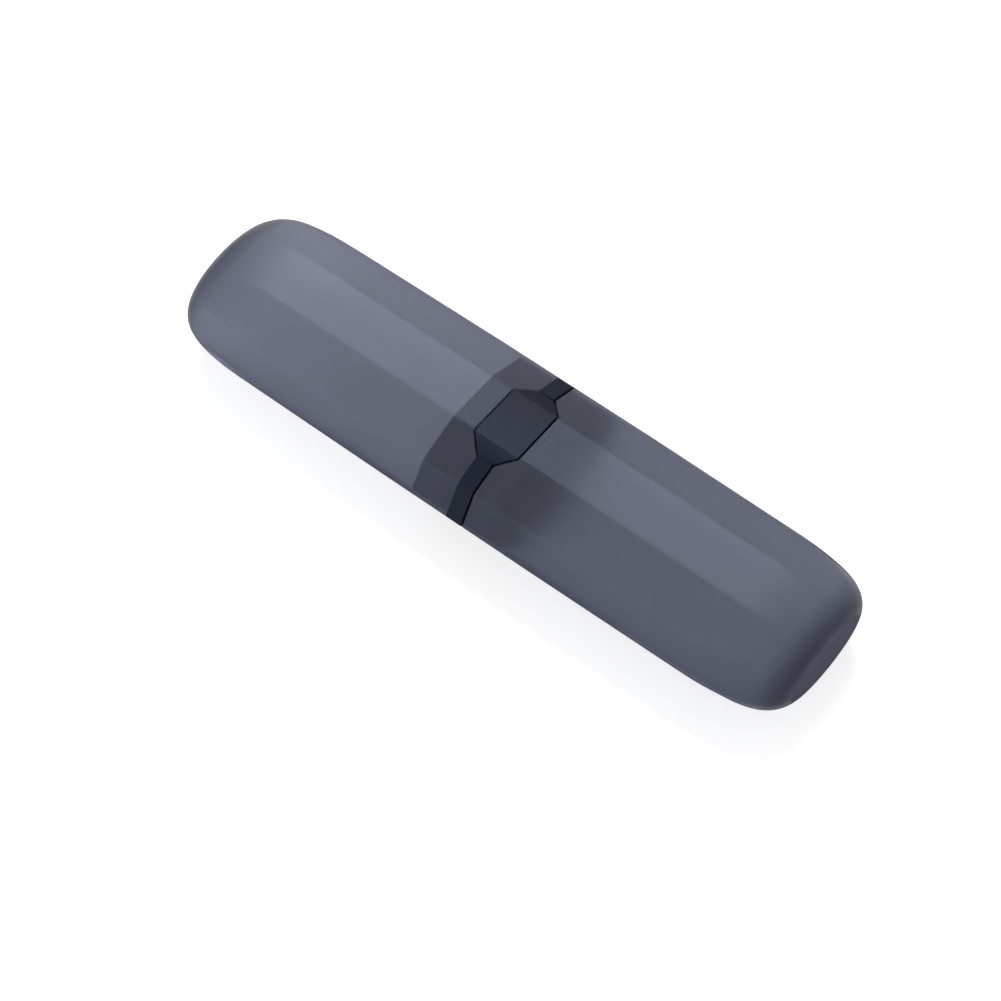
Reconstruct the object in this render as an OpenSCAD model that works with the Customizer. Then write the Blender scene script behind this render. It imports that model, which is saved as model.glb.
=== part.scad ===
// Travel case for an electric toothbrush.
// Two long ten-sided cups meet on a dark collar. The collar is bonded into the cover
// and carries a six-sided push button, whose leaf spring hooks a catch in the base.
// X runs along the case, towards the base cup. Z is up, out of the button.
// The case lies on its back facet, with the origin under its middle.

/* [Case] */
// Overall length of the closed case
case_l = 226; // [205:1:250]
// Overall width, corner to corner
case_w = 60; // [57:0.5:66]
// Overall thickness, from back facet to crown facet
case_t = 33; // [31:0.5:38]
// Width of the flat crown and back facets
crown_w = 18.6; // [17:0.1:21]
// Width across the shoulder creases
shoulder_w = 47.8; // [46:0.1:51]
// Thickness between the upper and lower shoulder creases
shoulder_t = 21.2; // [19:0.1:24]
// Wall of both cups
wall_t = 1.2; // [1:0.1:1.5]
// Length of the rounded part of each end
end_l = 32; // [24:0.5:40]
// Bevel round the rim of the base cup, outside and inside
base_bevel = 0.25; // [0.1:0.05:0.4]
// Bevel round the rim of the cover cup, where it meets the band
cover_bevel = 0.08; // [0.05:0.01:0.2]

/* [Collar] */
// Length of the band that shows between the cups
band_l = 5.4; // [4.4:0.1:5.8]
// How far the sleeve reaches into the cover, from the middle
seat_l = 16.4; // [15.5:0.1:20]
// How far the fitting ring reaches into the base, from the middle
ring_l = 14.4; // [14:0.1:17]
// How far the lead-in sleeve reaches into the base, from the middle
lead_l = 18; // [17.5:0.5:24]
// Step down from the fitting ring to the lead-in sleeve
lead_step = 0.8; // [0.6:0.1:1]
// How much deeper the lead-in sleeve lies at its end, so that the base finds its way on
lead_taper = 0.8; // [0:0.1:1.5]
// Wall of the fitting ring and of the lead-in sleeve
collar_t = 1; // [0.8:0.1:1.2]
// Clearance between the sleeve and the cover that it is bonded into
seat_gap = 0.05; // [0.02:0.01:0.1]
// Clearance between the fitting ring and the base that slides over it
run_gap = 0.25; // [0.2:0.01:0.3]
// Parting gap between the band and the rim of the base
part_gap = 0.7; // [0.4:0.05:0.8]

/* [Release button] */
// Length of the button along the case
button_l = 15.8; // [15:0.1:16.2]
// Width of the button across its two necks
neck_w = 29; // [27.5:0.1:30]
// Gap that shows between the button and the cups
button_gap = 0.35; // [0.25:0.05:0.5]
// Running clearance between the button and its well in the collar
well_gap = 0.12; // [0.1:0.01:0.15]
// How far the button face lies below the crown
button_sink = 0.15; // [0:0.05:0.3]
// How far the button is pressed
press = 1; // [0.8:0.05:1.1]
// Skin of the hollow button
button_skin = 1.1; // [1:0.1:1.3]

/* [Latch] */
// Width of the leaf spring
leaf_w = 6.4; // [5.4:0.1:7]
// Thickness of the spring strip
leaf_t = 0.35; // [0.3:0.05:0.4]
// Height of the catch rib inside the base
catch_h = 0.75; // [0.6:0.05:0.8]
// Thickness of the catch rib, along the case
catch_l = 1; // [0.8:0.1:1.2]
// Thickness of the frame that carries the leaf spring
frame_t = 0.9; // [0.8:0.1:1.2]
// Diameter of the pegs that fix the leaf spring
peg_d = 1.5; // [1.3:0.1:1.7]

/* [Hidden] */
$fn = 32;

// Scale that the section loses by draft, from the end of the parallel zone to the end
draft_share = 0.02;
// Size of the small flat end face, as a share of the section
end_share = 0.57;
// Squareness of the rounded end: 2 is an ellipse
end_power = 2.6;
// Angle that the rounded end turns through: under 90 leaves a crease round the end face
end_arc = 80;
// Shares of the rounded end at which the creases start to fade and are gone
fade_from_share = 0.4;
fade_to_share = 0.9;
// Strips in each facet and rings in each rounded end
STRIPS = 4;
RINGS = 11;
SIDES = 10;

// Overrun of every cut
over = 0.5;
// Clearance of latch pieces that move past each other
slip = 0.15;

half_l = case_l / 2;
half_w = case_w / 2;
half_t = case_t / 2;
half_band = band_l / 2;
// The cups are parallel from the band to here, so that the base runs true on the collar
parallel_l = 28;

// Fall of the facet beside the crown, for each millimetre across the case
facet_drop = (case_t - shoulder_t) / (shoulder_w - crown_w);

// Insets from the outside of the case
seat_in = wall_t + seat_gap;
ring_in = wall_t + run_gap;
bore_in = ring_in + collar_t;
lead_in = ring_in + lead_step;
lead_bore_in = lead_in + collar_t;

// Depths below the crown facet of what lies under the button
lug_t = 0.8;
lug_top = bore_in + well_gap / 2;
lug_low = lug_top + lug_t;
cap_low = lug_low + lug_t / 3;
leaf_top = cap_low + well_gap / 2;
leaf_low = leaf_top + leaf_t;
frame_top = cap_low + press + well_gap;
frame_low = frame_top + frame_t;

// Places along the case
lug_l = 0.9;
lug_x = button_l / 2 + lug_l;
window_x = lug_x + well_gap + over;
catch_x = window_x + slip * 2;
catch_w = leaf_w + slip * 4;
nose_x = catch_x + catch_l + slip;
window_end = ring_l - collar_t;
leaf_end = window_end - slip * 2;
window_w = catch_w + run_gap * 4;
boss_l = 4.6;
frame_x = over - seat_l;
boss_x = frame_x + peg_d;
frame_end = button_l / 2 + slip * 7;
slot_w = leaf_w + slip * 8;
peg_x = boss_x + boss_l / 2;
peg_y = leaf_w * 0.28;
post_d = 3;
rail_w = 1.4;
rail_t = 0.8;

// Corners of the ten-sided section, as [y, z] from its centre, counterclockwise
CORNERS = [
    [half_w, 0],
    [shoulder_w / 2, shoulder_t / 2],
    [crown_w / 2, half_t],
    [-crown_w / 2, half_t],
    [-shoulder_w / 2, shoulder_t / 2],
    [-half_w, 0],
    [-shoulder_w / 2, -shoulder_t / 2],
    [-crown_w / 2, -half_t],
    [crown_w / 2, -half_t],
    [shoulder_w / 2, -shoulder_t / 2]
];

// Corners of the six-sided button, as [x, y]. Its points would meet in the arms of the
// band, which cut them off at the necks.
neck_slope = (neck_w - crown_w) / (button_l - band_l);
hexagon_y = neck_w / 2 + half_band * neck_slope;
HEXAGON = [
    [button_l / 2, -crown_w / 2],
    [button_l / 2, crown_w / 2],
    [0, hexagon_y],
    [-button_l / 2, crown_w / 2],
    [-button_l / 2, -crown_w / 2],
    [0, -hexagon_y]
];

// Unit vector that points into the outline from the edge a to b
function inward(a, b) = let (d = b - a) [-d[1], d[0]] / norm(d);

// Corner b of an outline, once its two edges have moved inwards by t
function inset_corner(a, b, c, t) =
    let (n = inward(a, b), m = inward(b, c))
    let (p = n * b + t, q = m * b + t, det = cross(n, m))
    [(p * m[1] - q * n[1]) / det, (n[0] * q - m[0] * p) / det];

// An outline with every edge moved inwards by t, or outwards where t is negative
function inset(points, t) = let (n = len(points)) [
    for (i = [0 : n - 1]) inset_corner(points[(i + n - 1) % n], points[i], points[(i + 1) % n], t)
];

// The section with each facet split into strips
function strips(points) = [
    for (i = [0 : SIDES - 1], j = [0 : STRIPS - 1])
        points[i] + (points[(i + 1) % SIDES] - points[i]) * j / STRIPS
];

// Distance of a point from the centre, where 1 is on the ellipse with half axes a and b
function roundness(p, a, b) = norm([p[0] / a, p[1] / b]);

// Scale that draft leaves at the place x along the case
function taper(x) = 1 - draft_share * max(0, x - parallel_l) / (half_l - parallel_l);

// How far the creases have faded at the share u of the rounded end
function fade(u) = min(1, max(0, (u - fade_from_share) / (fade_to_share - fade_from_share)));

// One ring of a cup at x, inset by t, with its size brought in to the share s by the
// rounded end. The back facet stays level, and the crown takes all of the draft.
function cup_ring(x, s, blend, t) = [
    for (p = strips(inset(CORNERS, t)))
        let (soft = 1 - blend + blend / roundness(p, half_w - t, half_t - t))
        [x, p[0] * soft * s * taper(x), (half_t + p[1] * soft * s) * taper(x)]
];

// Shares of the way to the end face, along the case and inwards, at the angle a of the
// rounded end
function along(a) = pow(sin(a), 2 / end_power) / pow(sin(end_arc), 2 / end_power);
function inwards(a) = (1 - pow(cos(a), 2 / end_power)) / (1 - pow(cos(end_arc), 2 / end_power));

// Rings of a cup from the place x0 to its end. The first is inset by lip more, and the
// full section starts a bevel further in.
function cup_rings(x0, t, lip, bevel) = concat(
    [cup_ring(x0, 1, 0, t + lip), cup_ring(x0 + bevel, 1, 0, t), cup_ring(parallel_l, 1, 0, t)],
    [for (i = [0 : RINGS])
        let (a = end_arc * i / RINGS, x = half_l - t - end_l + end_l * along(a))
        cup_ring(x, 1 - (1 - end_share) * inwards(a), fade(along(a)), t)]
);

// A solid through rings of equal count, closed by its first and last ring
module loft(rings) {
    n = len(rings[0]);
    m = len(rings);
    sides = [
        for (i = [0 : m - 2], j = [0 : n - 1])
            let (a = i * n + j, b = i * n + (j + 1) % n)
            each [[a, a + n, b], [b, a + n, b + n]]
    ];
    first = [for (j = [0 : n - 1]) j];
    last = [for (j = [n - 1 : -1 : 0]) (m - 1) * n + j];
    polyhedron(points = [for (r = rings, p = r) p], faces = concat([first], sides, [last]));
}

// The rings in the opposite order
function reversed(rings) = [for (i = [len(rings) - 1 : -1 : 0]) rings[i]];

// The case's section, inset by t, as a straight bar from x0 to x1
module bar(t, x0, x1) {
    translate([x0, 0, half_t])
        rotate([90, 0, 90])
            linear_extrude(x1 - x0)
                polygon(inset(CORNERS, t));
}

// The case's section as a bar that narrows, inset by t0 at x0 and by about t1 at x1
module narrowing_bar(t0, t1, x0, x1) {
    wide_share = (half_w - t1) / (half_w - t0);
    thick_share = (half_t - t1) / (half_t - t0);
    translate([x0, 0, half_t])
        rotate([90, 0, 90])
            linear_extrude(x1 - x0, scale = [wide_share, thick_share], slices = 1)
                polygon(inset(CORNERS, t0));
}

// A block that is centred across the case, between two depths below the crown
module block(x0, x1, w, d0, d1) {
    translate([x0, -w / 2, case_t - d1])
        cube([x1 - x0, w, d1 - d0]);
}

// The button's outline, grown by t, from the depth d up and out of the crown
module hexagon(t, d) {
    translate([0, 0, case_t - d])
        linear_extrude(d + over)
            polygon(inset(HEXAGON, -t));
}

// The outline of the button between its necks, grown by t
module hexagon_between_necks(t, d) {
    intersection() {
        hexagon(t, d);
        block(-half_l, half_l, neck_w + t * 2, -over * 2, case_t);
    }
}

// A cup whose rim is at the place x, with its half of the button's notch grown by gap.
// Its rings run along the inside from the end to the rim, and back along the outside.
module cup(x, gap, bevel) {
    difference() {
        loft(concat(reversed(cup_rings(x, wall_t, -bevel, bevel)), cup_rings(x, 0, bevel, bevel)));
        hexagon(gap, half_t);
    }
}

// The fixed cup, bonded over the collar's sleeve
module cover_shell() {
    color([0.46, 0.49, 0.56])
        mirror([1, 0, 0])
            cup(half_band + seat_gap, button_gap, cover_bevel);
}

// The cup that pulls off, with a rib inside its crown for the latch to hook
module base_shell() {
    color([0.44, 0.47, 0.55]) {
        cup(half_band + part_gap, part_gap, base_bevel);
        block(catch_x, catch_x + catch_l, catch_w, wall_t / 2, wall_t + catch_h);
    }
}

// Rails inside the collar, on which the latch frame slides in
module frame_rails() {
    rail_y = inset(CORNERS, bore_in)[2][0] + (frame_low - bore_in) / facet_drop;
    intersection() {
        bar(bore_in - collar_t / 2, -seat_l, ring_l);
        for (side = [-1, 1])
            translate([frame_x, side * rail_y - rail_w / 2, case_t - frame_low - slip / 2 - rail_t])
                cube([frame_end - frame_x, rail_w, rail_t]);
    }
}

// The dark sleeve that joins the cups, with its flush band and the button's well
module collar() {
    color([0.15, 0.17, 0.21]) {
        difference() {
            union() {
                bar(0, -half_band, half_band);
                bar(seat_in, -seat_l, half_band);
                bar(ring_in, 0, ring_l);
                narrowing_bar(lead_in, lead_in + lead_taper, window_end, lead_l);
            }
            bar(bore_in, -seat_l - over, window_end);
            narrowing_bar(lead_bore_in, lead_bore_in + lead_taper, window_end, lead_l + over);
            hexagon_between_necks(well_gap, frame_top);
            block(window_x, ring_l + over, window_w, 0, lead_in);
            block(window_x, window_end, window_w, 0, lead_bore_in);
        }
        frame_rails();
    }
}

// The hollow six-sided button, with lugs that stop it under the collar's roof
module release_button() {
    color([0.17, 0.19, 0.24]) {
        difference() {
            intersection() {
                hexagon_between_necks(0, cap_low);
                bar(button_sink, -button_l, button_l);
            }
            intersection() {
                hexagon_between_necks(-button_skin, cap_low + over);
                bar(button_sink + button_skin, -button_l, button_l);
            }
            block(-button_l, button_l, slot_w, lug_top, cap_low + over);
        }
        for (side = [0, 1])
            mirror([side, 0, 0])
                difference() {
                    block(button_l / 2 - button_skin, lug_x, crown_w - lug_t * 4, lug_top, lug_low);
                    block(0, button_l, slot_w, 0, half_t);
                }
        translate([0, 0, case_t - cap_low])
            cylinder(h = cap_low - button_sink - button_skin / 2, d = post_d);
    }
}

// The leaf spring, one strip folded up into a nose that stands behind the catch rib
module latch_spring() {
    nose_top = case_t - wall_t - slip;
    fold_x = nose_x + leaf_t;
    color([0.72, 0.74, 0.76])
        difference() {
            translate([0, leaf_w / 2, 0])
                rotate([90, 0, 0])
                    linear_extrude(leaf_w)
                        polygon([
                            [boss_x, case_t - leaf_low],
                            [fold_x, case_t - leaf_low],
                            [fold_x, nose_top - leaf_t * 2],
                            [leaf_end, case_t - leaf_top],
                            [leaf_end, case_t - leaf_top + leaf_t],
                            [fold_x + leaf_t, nose_top],
                            [nose_x, nose_top],
                            [nose_x, case_t - leaf_top],
                            [boss_x, case_t - leaf_top]
                        ]);
            for (side = [-1, 1])
                translate([peg_x, side * peg_y, case_t - leaf_low - over])
                    cylinder(h = leaf_t + over * 2, d = peg_d + slip);
        }
}

// The frame under the button, with a boss and two headed pegs that hold the leaf spring
module latch_frame() {
    head_t = peg_d / 4;
    color([0.22, 0.24, 0.29]) {
        difference() {
            intersection() {
                bar(bore_in + slip / 3, frame_x, frame_end);
                block(frame_x, frame_end, case_w, frame_top, frame_low);
            }
            block(boss_x + boss_l, frame_end + over, slot_w, 0, half_t);
        }
        block(boss_x, boss_x + boss_l, slot_w, leaf_low, frame_top);
        for (side = [-1, 1])
            translate([peg_x, side * peg_y, case_t - leaf_low]) {
                cylinder(h = leaf_t + head_t, d = peg_d);
                translate([0, 0, leaf_t])
                    cylinder(h = head_t, d = peg_d * 1.5);
            }
    }
}

cover_shell();
base_shell();
collar();
release_button();
latch_spring();
latch_frame();
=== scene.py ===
# %% [markdown]
# # A smoky travel case for an electric toothbrush
#
# The case is two long ten-sided cups of frosted see-through plastic that meet on a dark
# collar. The collar carries a six-sided release button over a small steel leaf spring.
# The mechanical model is loaded first, because every piece here has to fit it. The cups
# are then modelled again with fine, softly rounded creases. The small pieces are copies
# of the mechanical ones whose edges get the tiny radius that moulded plastic always has.

# %% Load the mechanical model and keep its size
import math

import bmesh
import bpy
from mathutils import Matrix, Vector


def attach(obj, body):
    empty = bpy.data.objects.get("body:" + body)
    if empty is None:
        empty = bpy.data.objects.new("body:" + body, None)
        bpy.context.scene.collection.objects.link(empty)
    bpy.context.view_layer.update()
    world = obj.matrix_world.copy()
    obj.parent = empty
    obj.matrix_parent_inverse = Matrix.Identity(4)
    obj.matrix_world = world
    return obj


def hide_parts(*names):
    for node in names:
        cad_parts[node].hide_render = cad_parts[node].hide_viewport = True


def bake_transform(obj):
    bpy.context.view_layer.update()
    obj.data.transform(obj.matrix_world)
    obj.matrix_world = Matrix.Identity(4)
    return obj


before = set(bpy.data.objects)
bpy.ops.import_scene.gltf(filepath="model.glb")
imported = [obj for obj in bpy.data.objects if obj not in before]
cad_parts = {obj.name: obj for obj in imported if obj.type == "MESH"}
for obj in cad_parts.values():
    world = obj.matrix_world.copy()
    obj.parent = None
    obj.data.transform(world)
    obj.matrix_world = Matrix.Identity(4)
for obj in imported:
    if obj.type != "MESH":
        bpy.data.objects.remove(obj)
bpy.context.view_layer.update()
print("mechanical pieces:", sorted(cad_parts))

# %% [markdown]
# ## Sizes
#
# Blender works in metres here, so every size of the case is written in millimetres times
# MM. The lengths and gaps are those of the mechanical model, which a real product would
# take from its drawing. One gap differs: round the cover half of the button it is 0.35 mm
# in the model and 0.6 mm here, because at 0.5 mm its line still broke up into dashes in
# the picture. The radii of the creases and edges are chosen here, for the look.

# %% Sizes of the case
MM = 0.001
HALF_L = 113 * MM
HALF_W = 30 * MM
HALF_T = 16.5 * MM
SHOULDER_Y = 23.9 * MM
SHOULDER_Z = 10.6 * MM
CROWN_Y = 9.3 * MM
WALL = 1.2 * MM
HALF_BAND = 2.7 * MM
print("case:", HALF_L * 2 / MM, "x", HALF_W * 2 / MM, "x", HALF_T * 2 / MM, "mm")

# %% Sizes of the rounded ends
END_L = 32 * MM
END_SHARE = 0.57
END_POWER = 2.6
END_ARC = math.radians(80)
FADE_FROM = 0.4
FADE_TO = 0.9
DRAFT = 0.02
PARALLEL_L = 28 * MM
END_RINGS = 26
print("the last", END_L / MM, "mm close down to", END_SHARE, "of the section")

# %% Sizes of the button and of the gaps round it
BUTTON_L = 15.8 * MM
NECK_Y = 14.5 * MM
HEXAGON_Y = NECK_Y + HALF_BAND * (NECK_Y - CROWN_Y) / (BUTTON_L / 2 - HALF_BAND)
COVER_GAP = 0.6 * MM
BASE_GAP = 0.7 * MM
SEAT_GAP = 0.05 * MM
print("button:", BUTTON_L / MM, "mm long, tips", round(HEXAGON_Y * 2 / MM, 1), "mm apart")

# %% Radii of creases and edges, and how finely each is rounded
CREASE = 0.8 * MM
RIM_EDGE = 0.22 * MM
END_EDGE = 0.3 * MM
FINE_EDGE = 0.12 * MM
CREASE_SEGMENTS = 4
END_SEGMENTS = 3
EDGE_SEGMENTS = 2
TINY = 0.001 * MM
FINEST = TINY / 10
print("creases of", CREASE / MM, "mm in", CREASE_SEGMENTS, "steps")

# %% [markdown]
# ## Picking parts of a mesh in code
#
# By hand, vertices and edges are picked with the mouse. In a script they are picked by
# their place or by the angle between their faces, and the same operators then work on
# what is picked. An operator acts on all that is selected, so each step starts by
# deselecting everything else.

# %% Helpers that choose the piece to work on
def leave_edit_mode():
    """Goes back to object mode, if a piece is open in edit mode."""
    if bpy.context.mode != "OBJECT":
        bpy.ops.object.mode_set(mode="OBJECT")


def choose(piece):
    """Makes the piece the only selected object."""
    leave_edit_mode()
    bpy.ops.object.select_all(action="DESELECT")
    piece.select_set(True)
    bpy.context.view_layer.objects.active = piece


def work_on(piece):
    """Makes the piece the only selected object and opens it in edit mode."""
    choose(piece)
    bpy.ops.object.mode_set(mode="EDIT")


print("helpers ready: leave_edit_mode, choose, work_on")


# %% Helpers that pick points and edges
def pick_points(piece, test):
    """Selects the vertices whose place passes the test."""
    bpy.ops.mesh.select_mode(type="VERT")
    bpy.ops.mesh.select_all(action="DESELECT")
    shape = bmesh.from_edit_mesh(piece.data)
    for point in shape.verts:
        if test(point.co):
            point.select_set(True)
    shape.select_flush_mode()
    bmesh.update_edit_mesh(piece.data)


def pick_edges(piece, test):
    """Selects the edges that pass the test, and says how many they are."""
    bpy.ops.mesh.select_mode(type="EDGE")
    bpy.ops.mesh.select_all(action="DESELECT")
    shape = bmesh.from_edit_mesh(piece.data)
    for edge in shape.edges:
        if test(edge):
            edge.select_set(True)
    bmesh.update_edit_mesh(piece.data)
    return sum(edge.select for edge in shape.edges)


def middle(edge):
    """The place half-way along the edge."""
    return (edge.verts[0].co + edge.verts[1].co) / 2


def sharp(edge, least, most=180):
    """True if the angle between the edge's two faces is in the range, in degrees."""
    if len(edge.link_faces) != 2:
        return False
    return least < math.degrees(edge.calc_face_angle(0)) < most


print("helpers ready: pick_points, pick_edges, middle, sharp")

# %% A helper that finishes a mesh
SMOOTH_BELOW = math.radians(35)


def finish_mesh(piece):
    """Smooths the shading of the fine edges, keeps the facets flat, and prints the size."""
    leave_edit_mode()
    bpy.ops.object.shade_smooth_by_angle(angle=SMOOTH_BELOW)
    flat = piece.modifiers.new("flat facets", "WEIGHTED_NORMAL")
    flat.keep_sharp = True
    bpy.ops.object.modifier_apply(modifier=flat.name)
    low = [min(p.co[i] for p in piece.data.vertices) / MM for i in range(3)]
    high = [max(p.co[i] for p in piece.data.vertices) / MM for i in range(3)]
    print(f"{piece.name}: {len(piece.data.polygons)} faces,",
          " ".join(f"{b - a:.2f}" for a, b in zip(low, high)), "mm")


print("helper ready: finish_mesh")

# %% [markdown]
# ## Finishes
#
# Moulded plastic is never one flat colour. Its pigment drifts a little from place to
# place, and the mould leaves a very fine grain. By hand both would be painted. Here they
# are two noise textures on Object coordinates, so that they stay on the piece when it
# moves. One helper makes such a plastic from two near tints, a roughness and a grain.

# %% Helpers for materials
def new_material(name):
    """A new material with nodes, which starts with one Principled shader."""
    material = bpy.data.materials.new(name)
    material.use_nodes = True
    return material


def shader_of(material):
    """The Principled shader of the material."""
    return material.node_tree.nodes["Principled BSDF"]


def fed_by(shader, name):
    """The output that feeds the shader's input of that name."""
    return shader.inputs[name].links[0].from_socket


print("helpers ready: new_material, shader_of, fed_by")

# %% A moulded plastic
PATCH_SCALE = 18
PATCH_DETAIL = 3
PATCH_STOPS = (0.35, 0.65)
GRAIN_DETAIL = 2
GRAIN_DEPTH = 0.02 * MM


def moulded(name, tints, roughness, grain, bump, spread=0.05):
    """A plastic whose colour drifts between two tints, with a fine even grain."""
    material = new_material(name)
    shader = shader_of(material)
    nodes, links = material.node_tree.nodes, material.node_tree.links
    place = nodes.new("ShaderNodeTexCoord")
    drift = nodes.new("ShaderNodeTexNoise")
    drift.inputs["Scale"].default_value = PATCH_SCALE
    drift.inputs["Detail"].default_value = PATCH_DETAIL
    links.new(place.outputs["Object"], drift.inputs["Vector"])
    ramp = nodes.new("ShaderNodeValToRGB")
    for stop, position, tint in zip(ramp.color_ramp.elements, PATCH_STOPS, tints):
        stop.position = position
        stop.color = (*tint, 1)
    links.new(drift.outputs["Fac"], ramp.inputs["Fac"])
    links.new(ramp.outputs["Color"], shader.inputs["Base Color"])
    fine = nodes.new("ShaderNodeTexNoise")
    fine.inputs["Scale"].default_value = grain
    fine.inputs["Detail"].default_value = GRAIN_DETAIL
    links.new(place.outputs["Object"], fine.inputs["Vector"])
    gloss = nodes.new("ShaderNodeMapRange")
    gloss.inputs["To Min"].default_value = roughness - spread
    gloss.inputs["To Max"].default_value = roughness + spread
    links.new(fine.outputs["Fac"], gloss.inputs["Value"])
    links.new(gloss.outputs["Result"], shader.inputs["Roughness"])
    relief = nodes.new("ShaderNodeBump")
    relief.inputs["Strength"].default_value = bump
    relief.inputs["Distance"].default_value = GRAIN_DEPTH
    links.new(fine.outputs["Fac"], relief.inputs["Height"])
    links.new(relief.outputs["Normal"], shader.inputs["Normal"])
    print(f"{name}: grain of about {1 / grain / MM:.2f} mm")
    return material


# %% [markdown]
# ## Smoky plastic that lets light through
#
# The cups are tinted see-through plastic. Their outside is satin and their inside is
# strongly frosted. The collar's sleeve touches the wall from inside and is seen crisply
# through it, while what lies deeper is only a soft shadow. Both finishes are the
# Principled shader with Transmission, and the inner one has the higher Roughness. The
# tint is blue outside and nearly grey inside: the light that comes back from the surface
# is then bluer than the light that has crossed the whole cup, as in the photograph. The
# small flat end faces get a darker tint, which is painted shade, and are a little duller
# than the rest. The tints, and how much each finish bends and mirrors light, were tuned
# by measure to the photograph. Real plastic of this kind bends light more, with an IOR of
# about 1.5.

# %% The tints and optics of the three smoky finishes
CLARITY = 0.92
FACE_LIGHT = (0.58, 0.7, 1, 1)
SMOKY_GRAIN = 2500
OUTSIDE_TINTS = [(0.334, 0.364, 0.48), (0.351, 0.381, 0.497)]
INSIDE_TINTS = [(0.538, 0.525, 0.522), (0.56, 0.547, 0.543)]
# Painted shade: the end faces get a darker tint than the rest of the cup.
END_PAINTED_SHADE_TINTS = [(0.14, 0.155, 0.235), (0.155, 0.17, 0.25)]
OUTSIDE_IOR, OUTSIDE_SHINE = 1.17, 0.6
INSIDE_IOR, INSIDE_SHINE = 1.3, 0.1
END_IOR, END_SHINE = 1.05, 0.6
print("smoky finishes let", CLARITY, "of the light in")

# %% The three smoky finishes
smoky = moulded("smoky_outside_finish", OUTSIDE_TINTS,
                roughness=0.32, grain=SMOKY_GRAIN, bump=0.005, spread=0.02)
frosted = moulded("smoky_inside_finish", INSIDE_TINTS,
                  roughness=0.85, grain=SMOKY_GRAIN, bump=0.008)
end_shaded_smoky = moulded("smoky_end_shaded_finish", END_PAINTED_SHADE_TINTS,
                    roughness=0.42, grain=SMOKY_GRAIN, bump=0.006, spread=0.02)
for finish, bending, shine in ((smoky, OUTSIDE_IOR, OUTSIDE_SHINE),
                               (frosted, INSIDE_IOR, INSIDE_SHINE),
                               (end_shaded_smoky, END_IOR, END_SHINE)):
    smoky_shader = shader_of(finish)
    smoky_shader.inputs["Transmission Weight"].default_value = CLARITY
    smoky_shader.inputs["IOR"].default_value = bending
    smoky_shader.inputs["Specular IOR Level"].default_value = shine
    smoky_shader.inputs["Specular Tint"].default_value = FACE_LIGHT

# %% [markdown]
# ## Where smoky plastic looks darker
#
# The longer the line of sight runs inside tinted plastic, the darker it looks. A thin wall
# model can't know this, so the tint is made deeper where it happens: where the wall is seen
# edge on, and in the narrow strip along the sides where one looks down the wall. Two more
# steps are painted shade: the cups darken towards their tips, and the case darkens from its
# left end to its middle. Each of these is one step that multiplies the colour by a shade.

# %% Steps of a node tree
def feed(tree, socket, value):
    """Links the socket to another node's output, or sets it to a plain value."""
    if isinstance(value, bpy.types.NodeSocket):
        tree.links.new(value, socket)
    else:
        socket.default_value = value


def maths(tree, operation, *values):
    """The result of one maths node, which is fed by sockets or by plain numbers."""
    node = tree.nodes.new("ShaderNodeMath")
    node.operation = operation
    for socket, value in zip(node.inputs, values):
        feed(tree, socket, value)
    return node.outputs["Value"]


def mapped(tree, value, start, end, low=0, high=1):
    """Runs from low at start to high at end, and is level beyond them."""
    node = tree.nodes.new("ShaderNodeMapRange")
    node.inputs["From Min"].default_value = start
    node.inputs["From Max"].default_value = end
    node.inputs["To Min"].default_value = low
    node.inputs["To Max"].default_value = high
    tree.links.new(value, node.inputs["Value"])
    return node.outputs["Result"]


def shaded(tree, colour, share, shade):
    """Multiplies the colour by the shade where the share is 1, and keeps it at 0."""
    mix = tree.nodes.new("ShaderNodeMix")
    mix.data_type = "RGBA"
    mix.blend_type = "MULTIPLY"
    feed(tree, mix.inputs["Factor"], share)
    feed(tree, mix.inputs["A"], colour)
    feed(tree, mix.inputs["B"], shade)
    return mix.outputs["Result"]


def place_on_piece(tree):
    """The Object coordinates in metres, as outputs named X, Y and Z."""
    place = tree.nodes.new("ShaderNodeTexCoord")
    parts = tree.nodes.new("ShaderNodeSeparateXYZ")
    tree.links.new(place.outputs["Object"], parts.inputs["Vector"])
    return parts.outputs


print("steps ready: feed, maths, mapped, shaded, place_on_piece")

# %% Where each shade starts, where it is full, and its colour
FACING_BLEND = 0.5
EDGE_FROM, EDGE_TO = 0.42, 0.85
EDGE_SHADE = (0.4, 0.41, 0.46, 1)
RIM_FROM, RIM_TO = 0.8, 0.95
RIM_SHADE = (0.12, 0.12, 0.2, 1)
RIM_DULL = 0.68
# Painted shade: the cups darken towards their tips.
TIP_FROM, TIP_TO = 104 * MM, 112.5 * MM
TIP_PAINTED_SHADE = (0.43, 0.435, 0.46, 1)
SIDE_FROM, SIDE_TO = 28.9 * MM, 29.6 * MM
SLANT_FROM, SLANT_TO = 0.08, 0.2
SIDE_SHADE = (0.35, 0.35, 0.4, 1)
# Painted shade: the cups darken from the left end towards the middle.
DRIFT_START_X, DRIFT_FULL_X = -100 * MM, 20 * MM
DRIFT_PAINTED_SHADE = (0.81, 0.82, 0.83, 1)
print("the tip darkens over the last", round((HALF_L - TIP_FROM) / MM, 1), "mm")


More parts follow.
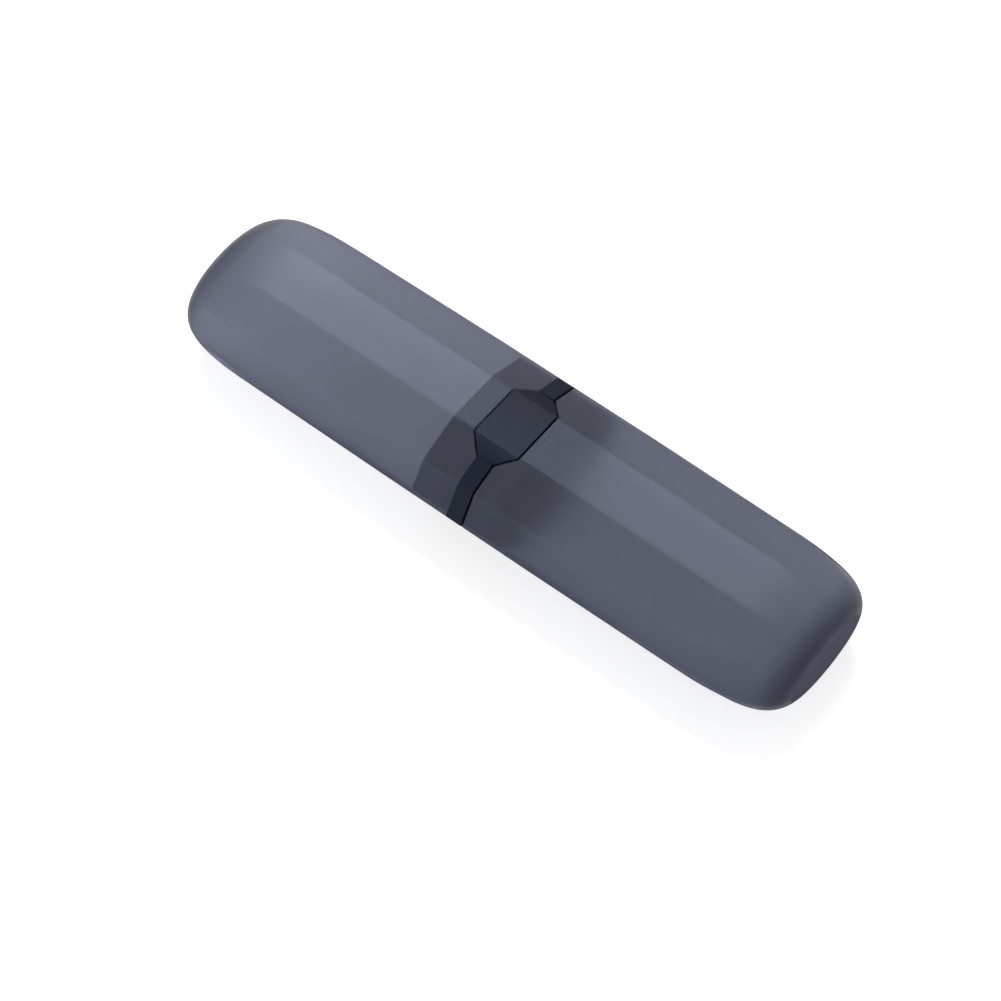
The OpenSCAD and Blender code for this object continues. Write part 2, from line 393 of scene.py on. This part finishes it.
# %% Deepening a smoky finish
def deepen_and_paint_shade(material):
    """Darkens a smoky finish where the line of sight runs long in the plastic, and paints
    shade towards the tips and from the left end to the middle.
    """
    tree, shader = material.node_tree, shader_of(material)
    weight = tree.nodes.new("ShaderNodeLayerWeight")
    weight.inputs["Blend"].default_value = FACING_BLEND
    facing = weight.outputs["Facing"]
    place = place_on_piece(tree)
    tip = mapped(tree, maths(tree, "ABSOLUTE", place["X"]), TIP_FROM, TIP_TO)
    beside = mapped(tree, maths(tree, "ABSOLUTE", place["Y"]), SIDE_FROM, SIDE_TO)
    slanted = mapped(tree, facing, SLANT_FROM, SLANT_TO)
    colour = fed_by(shader, "Base Color")
    for share, shade in ((mapped(tree, facing, EDGE_FROM, EDGE_TO), EDGE_SHADE),
                         (mapped(tree, facing, RIM_FROM, RIM_TO), RIM_SHADE),
                         (tip, TIP_PAINTED_SHADE),
                         (maths(tree, "MULTIPLY", beside, slanted), SIDE_SHADE),
                         (mapped(tree, place["X"], DRIFT_START_X, DRIFT_FULL_X), DRIFT_PAINTED_SHADE)):
        colour = shaded(tree, colour, share, shade)
    tree.links.new(colour, shader.inputs["Base Color"])
    dull = mapped(tree, facing, RIM_FROM, RIM_TO, 0, RIM_DULL)
    rough = maths(tree, "ADD", fed_by(shader, "Roughness"), dull)
    tree.links.new(maths(tree, "MINIMUM", rough, 1), shader.inputs["Roughness"])
    print(f"{material.name}: {len(tree.nodes)} nodes")


deepen_and_paint_shade(smoky)
deepen_and_paint_shade(frosted)

# %% [markdown]
# ## The dark pieces
#
# The collar and the button are the same slate plastic. The button is a separate moulding,
# and in the photograph it is lighter at its front crease than at the back, where it faces
# away from the light. A few stops along Y give it that. The frame inside is a plain grey.

# %% The dark collar and the frame
SLATE_GRAIN = 3000
FRAME_GRAIN = 1500
COLLAR_TINTS = [(0.009, 0.012, 0.021), (0.0105, 0.0135, 0.0235)]
FRAME_TINTS = [(0.04, 0.045, 0.055), (0.05, 0.055, 0.067)]
dark = moulded("collar_finish", COLLAR_TINTS, roughness=0.42, grain=SLATE_GRAIN, bump=0.3)
inner = moulded("frame_finish", FRAME_TINTS, roughness=0.5, grain=FRAME_GRAIN, bump=0.4)

# %% Shading a finish from crease to crease
# Painted light and shade: the button is lightest at its front crease and darker towards both
# necks, most at the back.
BUTTON_SHADES = {-NECK_Y: (0.62, 0.6, 0.56, 1),
                 -CROWN_Y: (1, 1, 1, 1),
                 CROWN_Y: (0.58, 0.58, 0.58, 1),
                 NECK_Y: (0.46, 0.45, 0.44, 1)}


def shade_across(material, shades):
    """Multiplies the colour by the shades, each at its place along Y."""
    tree, shader = material.node_tree, shader_of(material)
    places = list(shades)
    first, last = places[0], places[-1]
    ramp = tree.nodes.new("ShaderNodeValToRGB")
    stops = ramp.color_ramp.elements
    for y in places[1:-1]:
        stops.new((y - first) / (last - first))
    for stop, shade in zip(stops, shades.values()):
        stop.color = shade
    across = mapped(tree, place_on_piece(tree)["Y"], first, last)
    tree.links.new(across, ramp.inputs["Fac"])
    colour = shaded(tree, fed_by(shader, "Base Color"), 1, ramp.outputs["Color"])
    tree.links.new(colour, shader.inputs["Base Color"])
    print(f"{material.name}: shades at", [round(y / MM, 1) for y in places], "mm")


# %% The button's finish, and the dull sheen of both slate finishes
DARK_SHINE = 0.05
DARK_LIGHT = (0.8, 0.86, 1, 1)
BUTTON_TINTS = [(0.0165, 0.0205, 0.0365), (0.0185, 0.023, 0.0405)]
raised = moulded("button_finish", BUTTON_TINTS, roughness=0.4, grain=SLATE_GRAIN, bump=0.3)
shade_across(raised, BUTTON_SHADES)
for finish in (dark, raised):
    shader_of(finish).inputs["Specular IOR Level"].default_value = DARK_SHINE
    shader_of(finish).inputs["Specular Tint"].default_value = DARK_LIGHT

# %% [markdown]
# ## Spring steel
#
# The leaf spring is cut from rolled strip. Rolling leaves streaks along the strip, so its
# noise is stretched along X. The steel is blued, which makes it nearly as dark as the
# plastic round it.

# %% Blued strip with streaks
STEEL_ROUGHNESS = 0.3
STEEL_TINTS = [(0.07, 0.075, 0.095, 1), (0.11, 0.115, 0.14, 1)]
ROLLED_STRETCH = (0.05, 1, 1)
ROLLED_SCALE = 900
steel = new_material("spring_steel_finish")
steel_nodes, steel_links = steel.node_tree.nodes, steel.node_tree.links
steel_shader = shader_of(steel)
steel_shader.inputs["Metallic"].default_value = 1
steel_shader.inputs["Roughness"].default_value = STEEL_ROUGHNESS
spot = steel_nodes.new("ShaderNodeTexCoord")
stretch = steel_nodes.new("ShaderNodeMapping")
stretch.inputs["Scale"].default_value = ROLLED_STRETCH
rolled = steel_nodes.new("ShaderNodeTexNoise")
rolled.inputs["Scale"].default_value = ROLLED_SCALE
blued = steel_nodes.new("ShaderNodeValToRGB")
for blued_stop, blued_tint in zip(blued.color_ramp.elements, STEEL_TINTS):
    blued_stop.color = blued_tint
steel_links.new(spot.outputs["Object"], stretch.inputs["Vector"])
steel_links.new(stretch.outputs["Vector"], rolled.inputs["Vector"])
steel_links.new(rolled.outputs["Fac"], blued.inputs["Fac"])
steel_links.new(blued.outputs["Color"], steel_shader.inputs["Base Color"])
print("finishes:", [m.name for m in (smoky, frosted, end_shaded_smoky, dark, raised, inner, steel)])

# %% [markdown]
# ## The section of the cups
#
# A cup has ten flat facets. Its section starts as a circle with ten corners, a metre in
# radius, so that a corner that is still out there can't be taken for one that has been
# moved. The corners are pulled to their places in three groups: the two at the sides, the
# four shoulders and the four corners of the crown and back. Each corner is then bevelled,
# because a moulded crease has a small radius that catches the light as a fine line. The
# facets get extra points, so that they can turn into a smooth oval at the end of the cup.

# %% The ten-sided section
SIDES = 10
CORNERS = [(HALF_W, 0), (SHOULDER_Y, SHOULDER_Z), (CROWN_Y, HALF_T)]
START_RADIUS = 1
NEAR = 0.1
FACET_CUTS = 5


def still_out(point):
    """True for a corner of the first circle that hasn't been pulled to its place yet."""
    return max(abs(point.y), abs(point.z - HALF_T)) >= NEAR


def ten_sided_section(name, x):
    """An open ring of points at x, with ten facets and a rounded crease at each corner."""
    bpy.ops.object.select_all(action="DESELECT")
    bpy.ops.mesh.primitive_circle_add(vertices=SIDES, radius=START_RADIUS, fill_type="NGON",
                                      location=(x, 0, HALF_T), rotation=(0, math.pi / 2, 0))
    piece = bpy.context.object
    piece.name = name
    bpy.ops.object.transform_apply(location=True, rotation=True, scale=True)
    work_on(piece)
    for i, (y, z) in enumerate(CORNERS):
        turn = math.radians(360 / SIDES * i)
        from_y, from_z = math.cos(turn), math.sin(turn)
        pick_points(piece, lambda p: still_out(p) and abs(abs(p.z - HALF_T) - from_z) < NEAR)
        bpy.ops.transform.resize(value=(1, y / from_y, z / from_z if z else 1),
                                 center_override=(x, 0, HALF_T))
    bpy.ops.mesh.select_all(action="SELECT")
    bpy.ops.mesh.bevel(offset=CREASE, segments=CREASE_SEGMENTS, affect="VERTICES")
    bpy.ops.mesh.select_all(action="SELECT")
    bpy.ops.mesh.delete(type="ONLY_FACE")
    pick_edges(piece, lambda edge: edge.calc_length() > CREASE * 2)
    bpy.ops.mesh.subdivide(number_cuts=FACET_CUTS)
    leave_edit_mode()
    print(f"{name}: section of {len(piece.data.vertices)} points")
    return piece


# %% [markdown]
# ## The rounded end
#
# A cup runs straight along the collar, tapers by the draft that lets it out of its mould,
# and then closes in a rounded end. The end follows a squarish curve that stops short of a
# quarter turn, which leaves the crisp line round the small flat end face. On the way the
# creases fade: the open edge is stretched to a round outline, moved part of the way to a
# true circle with To Sphere, and stretched back. By hand these are the same three steps.

# %% How far the end has turned in
def along(turn):
    """The share of the end's length that the curve has run at this turn."""
    return (math.sin(turn) / math.sin(END_ARC)) ** (2 / END_POWER)


def inwards(turn):
    """The share of its way in from the straight side that the curve has made."""
    least = math.cos(END_ARC) ** (2 / END_POWER)
    return (1 - math.cos(turn) ** (2 / END_POWER)) / (1 - least)


def taper(x):
    """The share of the full section that the draft leaves at x."""
    return 1 - DRAFT * max(0, x - PARALLEL_L) / (HALF_L - PARALLEL_L)


def end_stations():
    """Place, size and faded share of each ring of the rounded end."""
    rows = []
    for i in range(END_RINGS + 1):
        turn = END_ARC * i / END_RINGS
        u = along(turn)
        faded = min(1, max(0, (u - FADE_FROM) / (FADE_TO - FADE_FROM)))
        rows.append((HALF_L - END_L + END_L * u, 1 - (1 - END_SHARE) * inwards(turn), faded))
    return rows


print("end rings at", [round(x / MM, 1) for x, size, faded in end_stations()], "mm")


# %% Extruding the cup ring by ring
def extrude_to(x_from, x_to, size, fade, oval):
    """Extrudes the open edge to x_to, scales it by size, and rounds it by the share fade.
    The back facet stays level: all of the draft comes off the crown."""
    bpy.ops.mesh.extrude_region_move(TRANSFORM_OT_translate={"value": (x_to - x_from, 0, 0)})
    draft = taper(x_to) / taper(x_from)
    bpy.ops.transform.resize(value=(1, draft, draft), center_override=(x_to, 0, 0))
    centre = (x_to, 0, HALF_T * taper(x_to))
    if fade > 0:
        stretch = HALF_W / HALF_T
        bpy.ops.transform.resize(value=(1, 1, stretch), center_override=centre)
        bpy.ops.transform.tosphere(value=fade)
        bpy.ops.transform.resize(value=(1, 1, 1 / stretch), center_override=centre)
    bpy.ops.transform.resize(value=(1, size * oval, size * oval), center_override=centre)


def mean_radius(piece):
    """Mean distance of the section's points from its centre, where an oval has 1."""
    points = [p.co for p in piece.data.vertices]
    return sum(math.hypot(p.y / HALF_W, (p.z - HALF_T) / HALF_T) for p in points) / len(points)


def closed_cup(name, rim_x):
    """The outside of a cup, from its rim to its flat end face, without a wall yet."""
    piece = ten_sided_section(name, rim_x)
    radius = mean_radius(piece)
    work_on(piece)
    bpy.ops.mesh.select_all(action="SELECT")
    extrude_to(rim_x, PARALLEL_L, 1, 0, 1)
    x, size, faded = PARALLEL_L, 1, 0
    for next_x, next_size, next_faded in end_stations():
        step = 1 - (1 - next_faded) / (1 - faded) if faded < 1 else 0
        now, then = 1 - faded + faded / radius, 1 - next_faded + next_faded / radius
        extrude_to(x, next_x, next_size / size, step, then / now)
        x, size, faded = next_x, next_size, next_faded
    bpy.ops.mesh.edge_face_add()
    bpy.ops.mesh.select_all(action="SELECT")
    bpy.ops.mesh.normals_make_consistent(inside=False)
    pick_edges(piece, lambda edge: all(abs(p.co.x - HALF_L) < TINY for p in edge.verts))
    bpy.ops.mesh.bevel(offset=END_EDGE, segments=END_SEGMENTS, affect="EDGES")
    leave_edit_mode()
    return piece


# %% [markdown]
# ## Wall, notch and rim
#
# The closed form gets its wall with the Solidify modifier. Half of the button's outline
# is then cut out of the rim with a Boolean, from a six-sided prism that is grown by the
# gap that shows round the button. Last, the sharp edges of the rim and the notch are
# bevelled a little. On the real cup that edge shows as a thin bright line.

# %% A prism with the button's outline
PRISM_SIDES = 6


def button_prism(gap):
    """The outline of the button, grown by gap, as a prism through the crown."""
    bpy.ops.object.select_all(action="DESELECT")
    bpy.ops.mesh.primitive_circle_add(vertices=PRISM_SIDES, radius=START_RADIUS,
                                      fill_type="NGON", location=(0, 0, HALF_T))
    prism = bpy.context.object
    bpy.ops.object.transform_apply(location=True, rotation=True, scale=True)
    slope = (HEXAGON_Y - CROWN_Y) / (BUTTON_L / 2)
    grown_x = BUTTON_L / 2 + gap
    grown_tip = HEXAGON_Y + gap * math.hypot(1, slope)
    grown_y = grown_tip - slope * grown_x
    turn = math.radians(360 / PRISM_SIDES)
    work_on(prism)
    pick_points(prism, lambda p: abs(p.x) < NEAR)
    bpy.ops.transform.resize(value=(1, grown_tip, 1), center_override=(0, 0, HALF_T))
    pick_points(prism, lambda p: abs(p.x) > NEAR)
    bpy.ops.transform.resize(value=(grown_x / math.sin(turn), grown_y / math.cos(turn), 1),
                             center_override=(0, 0, HALF_T))
    bpy.ops.mesh.select_all(action="SELECT")
    bpy.ops.mesh.extrude_region_move(TRANSFORM_OT_translate={"value": (0, 0, HALF_T * 2)})
    bpy.ops.mesh.select_all(action="SELECT")
    bpy.ops.mesh.normals_make_consistent(inside=False)
    leave_edit_mode()
    return prism


# %% Joining or cutting one solid with another
def combine(piece, tool, operation):
    """Cuts the tool out of the piece, or joins it on, and deletes the tool."""
    choose(piece)
    step = piece.modifiers.new("combine", "BOOLEAN")
    step.operation = operation
    step.solver = "EXACT"
    step.object = tool
    bpy.ops.object.modifier_apply(modifier=step.name)
    bpy.data.objects.remove(tool)


# %% The catch rib inside the base
CATCH_X = 9.72 * MM
CATCH_L = 1 * MM
CATCH_W = 7 * MM
CATCH_H = 0.75 * MM


def catch_rib():
    """The rib that the latch hooks. Half of the wall's thickness holds its root."""
    top = HALF_T * 2 - WALL / 2
    low = HALF_T * 2 - WALL - CATCH_H
    centre = (CATCH_X + CATCH_L / 2, 0, (top + low) / 2)
    bpy.ops.object.select_all(action="DESELECT")
    bpy.ops.mesh.primitive_cube_add(size=1, location=centre,
                                    scale=(CATCH_L, CATCH_W, top - low))
    rib = bpy.context.object
    bpy.ops.object.transform_apply(location=True, rotation=True, scale=True)
    work_on(rib)
    pick_edges(rib, lambda edge: middle(edge).z < (top + low) / 2 - TINY)
    bpy.ops.mesh.bevel(offset=FINE_EDGE, segments=EDGE_SEGMENTS, affect="EDGES")
    leave_edit_mode()
    return rib


# %% A finished cup
RIM_ANGLES = (60, 125)
OUTSIDE, INSIDE, END_FACE = range(3)


def finished_cup(name, rim_x, gap, rim_edge, is_cover):
    """A cup with its wall, its notch for the button, a softened rim and its finishes."""
    piece = closed_cup(name, rim_x)
    for finish in (smoky, frosted, end_shaded_smoky):
        piece.data.materials.append(finish)
    wall = piece.modifiers.new("wall", "SOLIDIFY")
    wall.thickness = WALL
    wall.offset = -1
    wall.use_even_offset = True
    wall.material_offset = INSIDE
    bpy.ops.object.modifier_apply(modifier=wall.name)
    combine(piece, button_prism(gap), "DIFFERENCE")
    if not is_cover:
        combine(piece, catch_rib(), "UNION")
    work_on(piece)
    bpy.ops.mesh.select_all(action="SELECT")
    bpy.ops.mesh.remove_doubles(threshold=TINY)
    near = BUTTON_L / 2 + gap + TINY
    count = pick_edges(piece, lambda edge: middle(edge).x < near and sharp(edge, *RIM_ANGLES))
    bpy.ops.mesh.bevel(offset=rim_edge, segments=EDGE_SEGMENTS, affect="EDGES")
    if is_cover:
        bpy.ops.mesh.select_all(action="SELECT")
        bpy.ops.transform.mirror(constraint_axis=(True, False, False),
                                 center_override=(0, 0, 0))
        bpy.ops.mesh.normals_make_consistent(inside=False)
    print(f"{name}: {count} rim edges bevelled")
    leave_edit_mode()
    for face in piece.data.polygons:
        if face.material_index == OUTSIDE and abs(face.center.x) > HALF_L - END_EDGE / 2:
            face.material_index = END_FACE
    finish_mesh(piece)
    return piece


cover = finished_cup("cover_cup", HALF_BAND + SEAT_GAP, COVER_GAP, RIM_EDGE / 2, True)
base = finished_cup("base_cup", HALF_BAND + BASE_GAP, BASE_GAP, RIM_EDGE, False)

# %% [markdown]
# ## The small moulded and pressed pieces
#
# The collar, the button, the leaf spring and its frame already have their true shapes in
# the mechanical model, down to clearances of a twentieth of a millimetre. Each is copied.
# The copy is loose triangles, so its doubles are merged and its flat facets are dissolved
# into whole faces before its edges are bevelled. The mechanical piece itself is never
# changed.

# %% Copying a mechanical piece and softening its edges
SAME_PLANE = math.radians(1)
CREASE_ANGLES = (15, 70)
CREASE_LEAST_L = 1 * MM
EDGE_ANGLE = 50


def long_crease(edge):
    """True for an outward crease that runs some way along the case."""
    length = abs(edge.verts[0].co.x - edge.verts[1].co.x)
    return edge.is_convex and sharp(edge, *CREASE_ANGLES) and length > CREASE_LEAST_L


def softened_copy(node, name, edge_size, creases=0, bends=()):
    """A copy with its edges softened, and cut across at the bends so that it can bend."""
    piece = bpy.data.objects.new(name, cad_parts[node].data.copy())
    piece.data.name = name
    bpy.context.scene.collection.objects.link(piece)
    work_on(piece)
    bpy.ops.mesh.select_all(action="SELECT")
    bpy.ops.mesh.remove_doubles(threshold=TINY)
    bpy.ops.mesh.dissolve_limited(angle_limit=SAME_PLANE)
    if creases:
        count = pick_edges(piece, long_crease)
        bpy.ops.mesh.bevel(offset=creases, segments=CREASE_SEGMENTS, affect="EDGES",
                           clamp_overlap=True)
        print(f"{name}: {count} long creases rounded")
    count = pick_edges(piece, lambda edge: sharp(edge, EDGE_ANGLE))
    bpy.ops.mesh.bevel(offset=edge_size, segments=EDGE_SEGMENTS, affect="EDGES",
                       clamp_overlap=True)
    bpy.ops.mesh.select_all(action="SELECT")
    bpy.ops.mesh.remove_doubles(threshold=FINEST)
    for x in bends:
        bpy.ops.mesh.select_all(action="SELECT")
        bpy.ops.mesh.bisect(plane_co=(x, 0, 0), plane_no=(1, 0, 0))
    print(f"{name}: {count} edges softened, {len(bends)} cuts across")
    finish_mesh(piece)
    return piece


# %% The collar, the button and the frame
COLLAR_EDGE = 0.04 * MM
BUTTON_EDGE = 0.05 * MM
BUTTON_CREASE = 0.3 * MM
FRAME_EDGE = 0.08 * MM
collar = softened_copy("collar", "collar_piece", COLLAR_EDGE, creases=CREASE)
button = softened_copy("release_button", "button_piece", BUTTON_EDGE, creases=BUTTON_CREASE)
latch = softened_copy("latch_frame", "spring_frame", FRAME_EDGE)

# %% [markdown]
# ## The leaf spring, cut into short steps
#
# The leaf spring is fixed on two pegs behind the button. When the button goes in, its post
# pushes the leaf down, and the nose at the free end lets go of the catch rib. A straight
# strip has no points between its ends, so it is first cut across into twelve short steps.

# %% The leaf spring
LEAF_EDGE = 0.05 * MM
BOSS_END_X = -9.8 * MM
POST_EDGE_X = -2.24 * MM
LEAF_STEPS = 12
bend_places = [BOSS_END_X + (POST_EDGE_X - BOSS_END_X) * i / LEAF_STEPS
               for i in range(LEAF_STEPS + 1)]
leaf = softened_copy("latch_spring", "leaf_spring", LEAF_EDGE, bends=bend_places)

# %% Putting each piece on its body
rows = [(cover, "cover", "cover_shell", "smoky_plastic", None),
        (base, "base", "base_shell", "smoky_plastic", None),
        (collar, "cover", "collar", "collar_plastic", dark),
        (button, "button", "release_button", "button_plastic", raised),
        (leaf, None, "latch_spring", "spring_steel", steel),
        (latch, "cover", "latch_frame", "frame_plastic", inner)]
for piece, body, node, slot, finish in rows:
    if finish:
        piece.data.materials.clear()
        piece.data.materials.append(finish)
    if body:
        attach(piece, body)
    else:
        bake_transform(piece)
    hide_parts(node)
    print(f"{piece.name} {'rides ' + body if body else 'bends'} and stands for {node}")

# %% [markdown]
# ## Floor, light and camera
#
# The photograph is a product shot on white. The floor is pale and takes the soft shadow,
# and the camera sees white behind it. The light was worked out from the picture: flat
# facets that face different ways show how much light comes from each side. Three small
# soft boxes stand high behind the case and light its crown from the left to the right. A
# wide strip in front and a small low one light the front facets, and an even world fills
# in.

# %% What the camera sees as white
def seen_directly(tree):
    """1 for rays from the camera, and for those that a mirror or a glass wall sends on."""
    path = tree.nodes.new("ShaderNodeLightPath")
    seen = maths(tree, "MAXIMUM", path.outputs["Is Camera Ray"], path.outputs["Is Glossy Ray"])
    return maths(tree, "MAXIMUM", seen, path.outputs["Is Transmission Ray"])


print("step ready: seen_directly")

# %% A floor that is white to the camera
FLOOR_SIZE = 6000 * MM
FLOOR_BELOW = 0.1 * MM
FLOOR_GLOW = 0.72
FLOOR_COLOUR = (0.42, 0.42, 0.43, 1)
FLOOR_ROUGHNESS = 0.9
FLOOR_SHINE = 0.1
bpy.ops.object.select_all(action="DESELECT")
bpy.ops.mesh.primitive_plane_add(size=FLOOR_SIZE, location=(0, 0, -FLOOR_BELOW))
floor = bpy.context.object
floor.name = "floor"
paper = new_material("white_paper")
paper_tree, paper_shader = paper.node_tree, shader_of(paper)
paper_shader.inputs["Base Color"].default_value = FLOOR_COLOUR
paper_shader.inputs["Roughness"].default_value = FLOOR_ROUGHNESS
paper_shader.inputs["Specular IOR Level"].default_value = FLOOR_SHINE
glow = paper_tree.nodes.new("ShaderNodeEmission")
amount = maths(paper_tree, "MULTIPLY", seen_directly(paper_tree), FLOOR_GLOW)
paper_tree.links.new(amount, glow.inputs["Strength"])
both = paper_tree.nodes.new("ShaderNodeAddShader")
paper_tree.links.new(paper_shader.outputs["BSDF"], both.inputs[0])
paper_tree.links.new(glow.outputs["Emission"], both.inputs[1])
paper_end = paper_tree.nodes["Material Output"]
paper_tree.links.new(both.outputs["Shader"], paper_end.inputs["Surface"])
floor.data.materials.append(paper)
print("floor is", floor.dimensions.x, "m wide")

# %% The world
WORLD_LIGHT = 0.62
WORLD_COLOUR = (1, 1, 1, 1)
world = bpy.data.worlds.new("soft_room")
bpy.context.scene.world = world
world.use_nodes = True
sky_tree = world.node_tree
sky = sky_tree.nodes["Background"]
sky.inputs["Color"].default_value = WORLD_COLOUR
level = mapped(sky_tree, seen_directly(sky_tree), 0, 1, WORLD_LIGHT, 1)
sky_tree.links.new(level, sky.inputs["Strength"])
print("world light", WORLD_LIGHT)

# %% [markdown]
# ## The soft boxes
#
# Each row gives a lamp's name, its place and its size in metres, its power in watts and
# its colour. Every lamp is turned towards the middle of the case, and the camera doesn't
# see it.

# %% Soft boxes
PLAIN, WARM = (1, 1, 1), (1, 0.93, 0.86)
LAMPS = [("top_box", (-0.6, 0.47, 0.95), (0.25, 0.2), 3.9, PLAIN),
         ("middle_box", (-0.36, 0.48, 0.95), (0.25, 0.16), 2.5, PLAIN),
         ("far_box", (-0.15, 0.49, 0.95), (0.2, 0.16), 3.1, WARM),
         ("front_strip", (-0.4, -1.0, 0.2), (0.6, 0.2), 3.2, PLAIN),
         ("low_strip", (-0.5, -0.38, 0.15), (0.3, 0.15), 1.1, PLAIN)]


def soft_box(name, place, size, power, colour):
    """Hangs a rectangular lamp at the place and turns it to the middle of the case."""
    light = bpy.data.lights.new(name, "AREA")
    light.shape = "RECTANGLE"
    light.size, light.size_y = size
    light.energy = power
    light.color = colour
    lamp = bpy.data.objects.new(name, light)
    bpy.context.scene.collection.objects.link(lamp)
    lamp.location = place
    aim = Vector((0, 0, HALF_T)) - Vector(place)
    lamp.rotation_euler = aim.to_track_quat("-Z", "Y").to_euler()
    lamp.visible_camera = False


for lamp_row in LAMPS:
    soft_box(*lamp_row)

# %% The camera, solved from the photograph
CAMERA_TURN = 0.6676
CAMERA_HEIGHT = 0.998
CAMERA_ROLL = 0.0002
CAMERA_DISTANCE = 1005.594 * MM
CAMERA_TARGET = Vector((6.5655 * MM, -15.6438 * MM, HALF_T))
FOCAL_PIXELS = 3407.03
IMAGE_PIXELS = 1001
SENSOR_MM = 36
CLIP_START = 10 * MM
back = Vector((math.sin(CAMERA_TURN) * math.cos(CAMERA_HEIGHT),
               -math.cos(CAMERA_TURN) * math.cos(CAMERA_HEIGHT), math.sin(CAMERA_HEIGHT)))
level_right = Vector((0, 0, 1)).cross(back).normalized()
level_up = back.cross(level_right)
right = level_right * math.cos(CAMERA_ROLL) + level_up * math.sin(CAMERA_ROLL)
up = level_up * math.cos(CAMERA_ROLL) - level_right * math.sin(CAMERA_ROLL)
lens = bpy.data.cameras.new("camera")
lens.sensor_width = SENSOR_MM
lens.lens = FOCAL_PIXELS / IMAGE_PIXELS * SENSOR_MM
lens.clip_start = CLIP_START
camera = bpy.data.objects.new("camera", lens)
bpy.context.scene.collection.objects.link(camera)
turned = Matrix((right, up, back)).transposed().to_4x4()
camera.matrix_world = Matrix.Translation(CAMERA_TARGET + back * CAMERA_DISTANCE) @ turned
bpy.context.scene.camera = camera
bpy.context.scene.view_settings.view_transform = "Standard"
print(f"lens of {lens.lens:.1f} mm at {CAMERA_DISTANCE:.2f} m")
